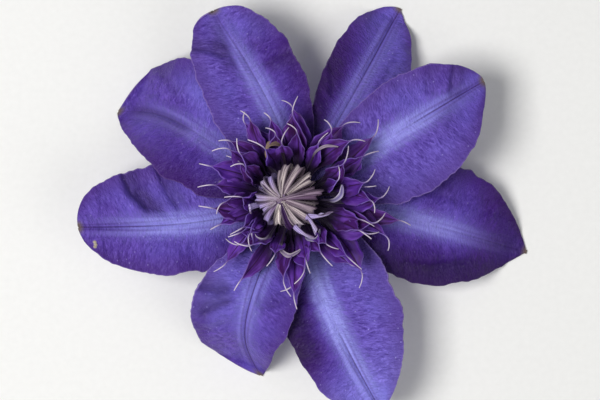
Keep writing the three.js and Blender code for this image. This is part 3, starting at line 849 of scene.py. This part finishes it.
# The cushion is the same tissue at its darkest: nearly black, partly its own colour and partly painted shade
# of the well it sits in. It is roughened by the scars of the necks.
scar_spacing = 1.11 * millimetre
shaded_cushion_tissue = new_material("dark_shaded_cushion_tissue")
place = add_node(shaded_cushion_tissue, "ShaderNodeTexCoord").outputs["Object"]
scars = add_node(
    shaded_cushion_tissue, "ShaderNodeTexNoise", {"Vector": place, "Scale": 1 / scar_spacing, "Detail": 2}
)
# Painted shade: nearly black, partly the cushion's own colour and partly the shade of the well.
dark = lay_colours(shaded_cushion_tissue, colour("#140a22"), [(scars, "#2e1a40")])
scarred = add_node(
    shaded_cushion_tissue, "ShaderNodeBump", {"Height": scars, "Strength": 0.8, "Distance": 0.4 * millimetre}
)
finish_material(shaded_cushion_tissue, {"Base Color": dark, "Roughness": 0.8, "Normal": scarred})

shape = bmesh.new()
turn_profile(shape, cushion_profile, steps=48)
set_in_place("crown_cushion", shape, [shaded_cushion_tissue], "staminode_violet", "staminode_crown")

draw = draws_from(4217)
tones = draws_from(77)
whorls = [new_shape(blade_marks) for _ in whorl_names]
for number in range(staminodes):
    inner = number / (staminodes - 1)
    azimuth = number * golden_angle + azimuth_spread * (next(draw) - 0.5)
    leaning = 1 + crown_lean * math.cos(math.radians(azimuth))
    own_length = least_length + length_spread * next(draw)
    blade_length = leaning * lerp(outer_length, inner_length, inner) * own_length
    thread_length = least_thread + thread_spread * next(draw)
    climb_end = lerp(outer_climb, inner_climb, inner) + climb_spread * (next(draw) - 0.5)
    recurve = lerp(outer_recurve, inner_recurve, inner) * (least_recurve + recurve_spread * next(draw))
    side_turn = hook_spread * (next(draw) - 0.5)
    half = lerp(outer_half_width, inner_half_width, inner) * (least_width + width_spread * next(draw))
    twist = twist_spread * (next(draw) - 0.5)
    bend = bend_spread * (next(draw) - 0.5)
    fold = least_fold + fold_spread * next(draw)
    length = blade_length + thread_length
    end = blade_length / length
    widths = [
        (share * end, lerp(lerp(neck_half_width, thread_half_width, share), half, width))
        for share, width in blade_rows
    ]
    widths += [(lerp(end, 1, share), width) for share, width in thread_rows]
    stations = []
    for share, width in widths:
        curl = smoothstep(share, end, 1)
        climb = lerp(root_climb, climb_end, smoothstep(share / end, 0.2, 0.75)) - recurve * curl
        turn = bend * smoothstep(share / end, 0.3, 1) + side_turn * curl
        stations.append((share, width, climb, turn))
    frames = blade_frames(azimuth, lerp(outer_root, inner_root, inner), length, twist, stations)
    shares = [share for share, _ in widths]
    whorl = whorls[number * len(whorls) // staminodes]
    own = {"tone": next(tones)}
    add_blade(whorl, staminode_columns, staminode_rows, shares, frames, end, fold, number, own)
for name, whorl in zip(whorl_names, whorls):
    blades = set_in_place(f"{name}_staminodes", whorl, [crown_tissue], "staminode_violet", "staminode_crown")
    thicken(blades, staminode_thickness)

# ---- The pale ribbons ----
# Stamens caught halfway to petals: short curled ribbons of thin lavender tissue with cream edges, on the same
# cushion. Each rises, droops over and curls sideways at its end. One has withered to a brownish curl.

ribbons = [
    dict(width=0.6, azimuth=-3, reach=12.5, climb=34, curl=90, withered=0),
    dict(width=0.55, azimuth=-70, reach=13, climb=30, curl=150, withered=0),
    dict(width=0.85, azimuth=238, reach=15, climb=27, curl=-130, withered=0.15),
    dict(width=0.65, azimuth=256, reach=16, climb=27, curl=140, withered=0.4),
    dict(width=0.85, azimuth=103, reach=17, climb=26, curl=170, withered=1),
    dict(width=0.3, azimuth=64, reach=16, climb=30, curl=-70, withered=0.5),
]
ribbon_root = Vector((4, 20.8))
ribbon_rows = [(0, 0.4), (0.3, 0.4), (0.5, 0.5), (0.65, 1), (0.8, 1.35), (0.92, 0.9), (1, 0.3)]
ribbon_rise, ribbon_droop = 1.3, 1.6
ribbon_slack, ribbon_end = 1.2, 2  # a ribbon is longer than its reach, for its rise and its curled end
ribbon_twist, ribbon_fold = 0.4, 0.2
ribbon_columns, ribbon_grid_rows, ribbon_seed = 10, 60, 200

# Thin pale petal tissue with hardly any sap: lavender in the middle, cream at the rims, brown where it
# withers, and nearly black at the root, partly its own colour and partly painted shade of the well round the
# tuft, like the crown round it.
ribbon_tissue = new_material("pale_ribbon_tissue")
across, along, withered = (
    add_node(ribbon_tissue, "ShaderNodeAttribute", attribute_name=name).outputs["Fac"]
    for name in ("across", "along", "tone")
)
away = add_node(ribbon_tissue, "ShaderNodeMath", {0: across}, operation="ABSOLUTE")
# Painted shade: the root goes nearly black, partly its own colour and partly the shade of the well round the
# tuft.
root_shade_share = add_node(
    ribbon_tissue,
    "ShaderNodeMapRange",
    {"Value": along, "From Min": 0.55, "From Max": 0.78, "To Min": 0.96, "To Max": 0},
)
pale = lay_colours(
    ribbon_tissue, colour("#7464a2"), [(away, "#c3b8cf"), (withered, "#8c7668"), (root_shade_share, "#170822")]
)
finish_material(ribbon_tissue, {"Base Color": pale, "Roughness": 0.6, "Specular IOR Level": 0.2})

shape = new_shape(blade_marks)
for number, ribbon in enumerate(ribbons):
    climb, curl = ribbon["climb"], ribbon["curl"]
    stations = []
    for share, half in ribbon_rows:
        rise = climb * (ribbon_rise - ribbon_droop * smoothstep(share, 0.45, 1))
        stations.append((share, half * ribbon["width"], rise, curl * smoothstep(share, 0.62, 1)))
    span = ribbon["reach"] - ribbon_root.x
    length = ribbon_slack * span / math.cos(math.radians(climb)) + ribbon_end
    frames = blade_frames(ribbon["azimuth"], ribbon_root, length, ribbon_twist * curl, stations)
    shares = [share for share, _ in ribbon_rows]
    seed = ribbon_seed + number
    own = {"tone": ribbon["withered"]}
    add_blade(shape, ribbon_columns, ribbon_grid_rows, shares, frames, 1, ribbon_fold, seed, own)
curled = set_in_place("pale_ribbons", shape, [ribbon_tissue], "staminode_violet", "staminode_crown")
thicken(curled, staminode_thickness)

# ---- The tuft of stamens ----
# Two dozen flattened filaments that climb out of the middle, bulge, and bend back in to one apex that leans
# off the axis. Three more on one side and one on the other stand open. They are mauve to cream, and some are
# flushed with lavender.

stamens = 24
tuft_base, tuft_top = 23.6, 29.2
tuft_radius = 8.2
tuft_lean, tuft_lean_azimuth = 3.2, 184
least_size, size_spread, lift_spread = 0.84, 0.28, 1.6
least_strap_width, strap_width_spread = 0.75, 0.55
swing_spread, tip_spread, roll_spread = 30, 0.5, 80
strap_half_width, open_half_width = 0.95, 1.25
strap_thickness, strap_arch, open_arch = 0.45, -0.75, -0.3
strap_columns, strap_grid_rows, closed_seed, open_seed = 12, 44, 300, 400
dark_stamen, broad_stamen, lilac_stamen = 2, 7, 14
broad_width = 1.5
proud_lift = 0.8  # the broad one and the dark one lie over their neighbours
lavender_side = math.radians(205)
open_tone, open_tint = 0.9, 8

# Rows of share of the tuft's radius, share of its height, share of the width, and share of the own lift.
closed_strap = [
    (0.13, 0, 0.5, 0),
    (0.62, 0.12, 0.65, 0.4),
    (1, 0.36, 1, 1),
    (0.86, 0.61, 0.95, 1),
    (0.42, 0.86, 0.7, 0.8),
    (0.06, 1, 0.35, 0.4),
]
open_rise = [(0.12, 0, 0.5, 0), (0.61, 0.14, 0.55, 0), (0.92, 0.46, 0.6, 0), (1, 0.82, 0.7, 0)]
open_stamens = [
    dict(azimuth=-62, swing=44, roll=50, reach=1.62, width=1.1),
    dict(azimuth=-18, swing=-26, roll=50, reach=1.58, width=0.75),
    dict(azimuth=-84, swing=31, roll=50, reach=1.58, width=0.85),
    dict(azimuth=188, swing=10, roll=0, reach=1.1, width=0.9),
]


def strap_frames(azimuth, swing, roll, lift, size, half, path):
    """Frames along a strap that leans with the tuft, swings off its plane and rolls about its own line."""
    angle, lean_angle = math.radians(azimuth), math.radians(tuft_lean_azimuth)
    left = Vector((-math.sin(angle), math.cos(angle), 0))
    places = []
    for k, (out, up, _, lifted) in enumerate(path):
        turn = angle + math.radians(swing) * k / (len(path) - 1)
        radius = out * tuft_radius * size
        lean = tuft_lean * smoothstep(up, 0, 1)
        x = radius * math.cos(turn) + lean * math.cos(lean_angle)
        y = radius * math.sin(turn) + lean * math.sin(lean_angle)
        places.append(Vector((x, y, lerp(tuft_base, tuft_top, up) + lift * lifted)))
    lefts, ups = [], []
    for k, at in enumerate(places):
        forward = (places[min(k + 1, len(places) - 1)] - places[max(k - 1, 0)]).normalized()
        lefts.append(Quaternion(forward, math.radians(roll)) @ left)
        ups.append(forward.cross(lefts[-1]).normalized())
    return places, lefts, ups, [half * row[2] for row in path]


# Filament tissue: firm, matt and ribbed lengthwise, mauve to cream, with painted brown-purple shade in its
# furrows and along its edges, where the gaps between filaments lie. Some filaments are flushed lavender where
# they bulge, and one is as dark as the staminodes.
filament_marks = blade_marks + ("tint", "dusk")
rib_spacing, ribs_along, rib_shuffle = 0.297, 1.6, 50
filament_tissue = new_material("cream_filament_tissue")
across, along, _, tone, tint, dusk = (
    add_node(filament_tissue, "ShaderNodeAttribute", attribute_name=name).outputs["Fac"]
    for name in filament_marks
)
away = add_node(filament_tissue, "ShaderNodeMath", {0: across}, operation="ABSOLUTE")
place = add_node(filament_tissue, "ShaderNodeCombineXYZ", {"X": across, "Y": along, "Z": tone})
rib_size = add_node(
    filament_tissue,
    "ShaderNodeVectorMath",
    {0: place, 1: (strap_half_width / rib_spacing, ribs_along, rib_shuffle)},
    operation="MULTIPLY",
)
ribbing = add_node(filament_tissue, "ShaderNodeTexNoise", {"Vector": rib_size, "Scale": 1, "Detail": 3})
bulge = add_node(
    filament_tissue,
    "ShaderNodeMapRange",
    {"Value": along, "From Min": 0.35, "From Max": 0.8, "To Min": 1, "To Max": 0.1},
)
flush_share = add_node(
    filament_tissue, "ShaderNodeMath", {0: bulge, 1: tint}, operation="MULTIPLY", use_clamp=True
)
# Painted shade in the furrows of the ribbing.
furrow_shade_share = add_node(
    filament_tissue,
    "ShaderNodeMapRange",
    {"Value": ribbing, "From Min": 0.45, "From Max": 0.6, "To Max": 0.75},
)
# Painted shade: each filament darkens towards its edges, where the gaps between filaments would be shaded,
# less so towards its end.
edge_reach = add_node(
    filament_tissue,
    "ShaderNodeMapRange",
    {"Value": along, "From Min": 0.7, "From Max": 1, "To Min": 0.85, "To Max": 0.2},
)
edge_share = add_node(
    filament_tissue,
    "ShaderNodeMapRange",
    {"Value": away, "From Min": 0.72, "From Max": 1, "To Max": edge_reach},
)
ribbed = lay_colours(
    filament_tissue,
    colour("#8b708e"),
    [
        (tone, "#e6dad3"),
        (flush_share, "#baaae2"),
        (furrow_shade_share, "#6a4c6a"),
        (edge_share, "#2c1a30"),
        (dusk, "#3a1a4e"),
    ],
)
furrows = add_node(
    filament_tissue, "ShaderNodeBump", {"Height": ribbing, "Strength": 0.8, "Distance": -0.4 * millimetre}
)
finish_material(
    filament_tissue, {"Base Color": ribbed, "Roughness": 0.6, "Specular IOR Level": 0.3, "Normal": furrows}
)

draw = draws_from(911)
strap_shares = [k / (len(closed_strap) - 1) for k in range(len(closed_strap))]
shape = new_shape(filament_marks)
for number in range(stamens):
    size = least_size + size_spread * next(draw)
    lift = lift_spread * next(draw) + (proud_lift if number in (broad_stamen, dark_stamen) else 0)
    half = strap_half_width * (least_strap_width + strap_width_spread * next(draw))
    half *= broad_width if number == broad_stamen else 1
    swing = swing_spread * (next(draw) - 0.5)
    tip_out = tip_spread * (next(draw) - 0.4)
    azimuth = number * golden_angle
    path = closed_strap[:-1] + [(tip_out, *closed_strap[-1][1:])]
    roll = roll_spread * (next(tones) - 0.5)
    frames = strap_frames(azimuth, swing, roll, lift, size, half, path)
    facing = math.cos(math.radians(azimuth) - lavender_side)
    tint = smoothstep(facing + 0.5 * next(tones), 0.2, 1.2)
    own = {"tone": next(tones), "tint": 2 * tint, "dusk": float(number == dark_stamen)}
    if number == broad_stamen:
        own.update(tone=1, tint=0)
    if number == lilac_stamen:
        own.update(tint=2)
    seed = closed_seed + number
    add_blade(shape, strap_columns, strap_grid_rows, strap_shares, frames, 1, strap_arch, seed, own)
for number, stamen in enumerate(open_stamens):
    reach = stamen["reach"]
    path = open_rise + [(lerp(1, reach, 0.5), 1.02, 0.9, 0), (reach, 0.9, 1.15, 0)]
    half = open_half_width * stamen["width"]
    frames = strap_frames(stamen["azimuth"], stamen["swing"], stamen["roll"], 0, 1, half, path)
    own = {"tone": open_tone, "tint": open_tint, "dusk": 0}
    seed = open_seed + number
    add_blade(shape, strap_columns, strap_grid_rows, strap_shares, frames, 1, open_arch, seed, own)
straps = set_in_place("tuft_stamens", shape, [filament_tissue], "stamen_cream", "stamen_tuft")
thicken(straps, strap_thickness)

# ---- The pistil boss ----
# The small dark downy head of pistils that the stamens close over, seen only in the chinks between them.
# It is turned from one profile and stands on the cushion, in the cushion's tissue, whose near black is partly
# painted shade of those chinks.

boss_profile = [
    (0, crown_head - 0.6),
    (3.2, crown_head - 0.6),
    (3.4, tuft_base),
    (2.2, tuft_base + 2.6),
    (0, tuft_base + 3.2),
]
shape = bmesh.new()
turn_profile(shape, boss_profile, steps=32)
set_in_place("pistil_boss", shape, [shaded_cushion_tissue], "staminode_violet", "stamen_tuft")

# ---- The studio ----
# A plain pale floor, soft light from the upper left with a weaker fill, and a camera that looks straight down
# on the bloom from far enough for its low tips to keep their place.

floor_half_width = 2  # metres, as for all that lights the bloom
frame_width = 162.2
camera_height = 1500
camera_aside = (1.9, -0.5)
sensor_width = 36

shape = bmesh.new()
bmesh.ops.create_grid(shape, x_segments=1, y_segments=1, size=floor_half_width)
mesh = bpy.data.meshes.new("floor")
shape.to_mesh(mesh)
shape.free()
floor = bpy.data.objects.new("floor", mesh)
bpy.context.scene.collection.objects.link(floor)

# Paper board: matt and pale, with a faint mottle of its fibres.
fibre_spacing = 1.67 * millimetre
board = new_material("pale_paper_board")
place = add_node(board, "ShaderNodeTexCoord").outputs["Object"]
fibres = add_node(board, "ShaderNodeTexNoise", {"Vector": place, "Scale": 1 / fibre_spacing, "Detail": 3})
pale = lay_colours(board, colour("#ecebe7"), [(fibres, "#f3f2ee")])
finish_material(board, {"Base Color": pale, "Roughness": 0.9})
mesh.materials.append(board)


def add_light(name, place, size, power):
    """A square soft light aimed at the bloom."""
    light = bpy.data.lights.new(name, "AREA")
    light.size = size
    light.energy = power
    lamp = bpy.data.objects.new(name, light)
    lamp.location = place
    lamp.rotation_euler = (-Vector(place)).to_track_quat("-Z", "Y").to_euler()
    bpy.context.scene.collection.objects.link(lamp)


add_light("key_light", place=(-0.5, -0.05, 0.95), size=0.5, power=9.5)
add_light("fill_light", place=(0.7, -0.5, 0.8), size=0.9, power=2.6)

sky = bpy.data.worlds.new("soft_sky")
sky.use_nodes = True
background = sky.node_tree.nodes["Background"]
background.inputs["Color"].default_value = colour("#e8ebf2")
background.inputs["Strength"].default_value = 0.3
bpy.context.scene.world = sky
bpy.context.scene.view_settings.view_transform = "Standard"

camera = bpy.data.objects.new("camera", bpy.data.cameras.new("camera"))
camera.data.sensor_width = sensor_width
camera.data.lens = sensor_width * camera_height / frame_width
camera.location = (
    bloom_axis.x + camera_aside[0] * millimetre,
    bloom_axis.y + camera_aside[1] * millimetre,
    (camera_height + level_mid) * millimetre,
)
bpy.context.scene.collection.objects.link(camera)
bpy.context.scene.camera = camera
